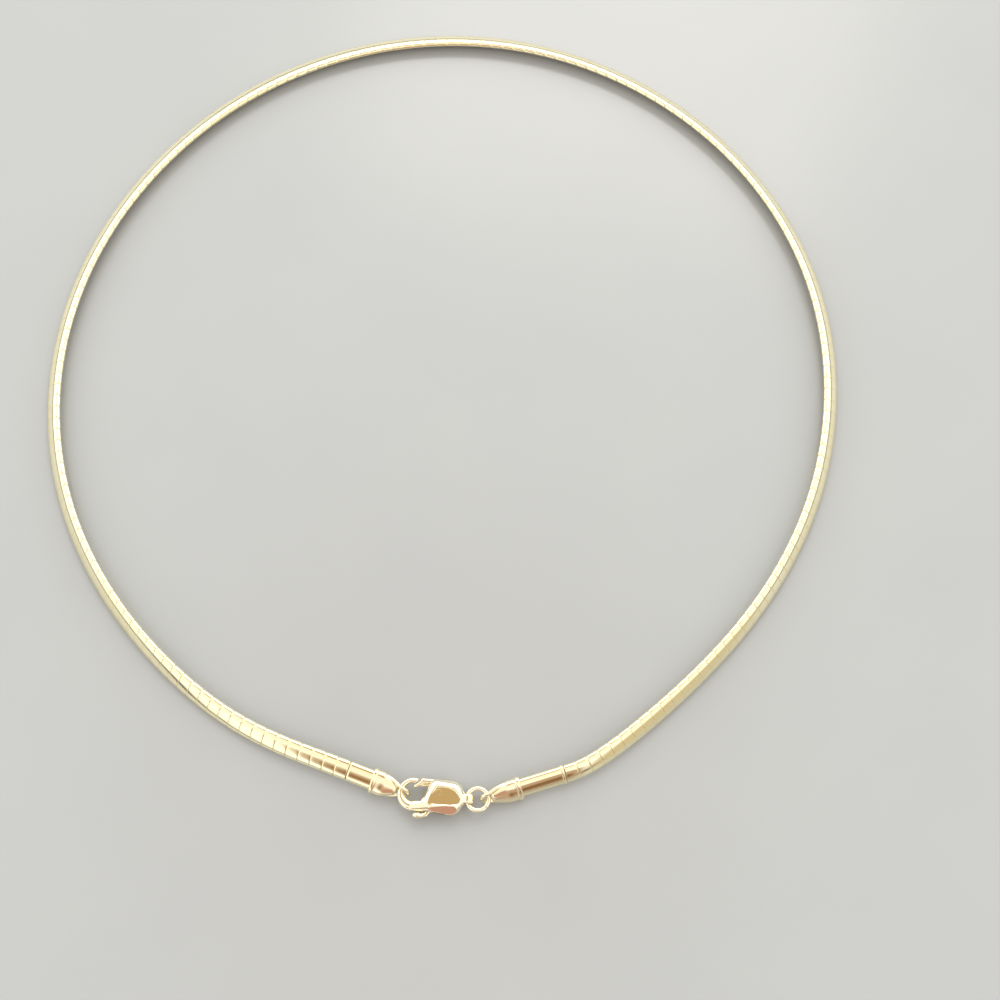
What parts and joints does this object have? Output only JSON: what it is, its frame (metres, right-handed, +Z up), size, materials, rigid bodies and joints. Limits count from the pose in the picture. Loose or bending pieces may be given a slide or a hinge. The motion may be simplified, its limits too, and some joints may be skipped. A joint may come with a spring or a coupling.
{
  "type": "omega necklace",
  "caption": "Domed omega neck chain of polished gold plates on a flat hidden core, with smooth end sleeves, rimmed end caps, a jump ring and a lobster clasp with a sprung gate.",
  "frame": {"origin": "middle of the necklace's bounding box, on the surface that it lies on", "axes": "+Z up from the surface, +Y from the clasp to the front of the necklace, +X to the right as seen from above with the clasp nearest"},
  "size_m": [0.1308, 0.1378, 0.0034],
  "materials": {
    "plates": "mirror-polished pale yellow gold",
    "core": "drawn and woven yellow gold strip, unpolished",
    "sleeves": "mirror-polished pale yellow gold",
    "caps": "polished cast yellow gold",
    "ring": "polished drawn gold wire",
    "clasp": "tumble-polished cast yellow gold",
    "lever": "polished cast yellow gold"
  },
  "bodies": {
    "necklace": {"plates_right": "plates", "plates_left": "plates", "core_strip": "core", "left_sleeve": "sleeves", "right_sleeve": "sleeves", "left_cap": "caps", "right_cap": "caps", "jump_ring": "ring", "clasp_body": "clasp", "clasp_rivet": "lever"},
    "lever": {"clasp_lever": "lever"}
  },
  "joints": [
    {"name": "lever_hinge", "type": "hinge", "parent": "necklace", "child": "lever", "pos_m": [0.00018, -0.06506, 0.00155], "axis": [0, 0, 1], "range_deg": [0, 24], "stiffness_Nm_per_rad": 0.004, "springref_deg": -17.19}
  ]
}
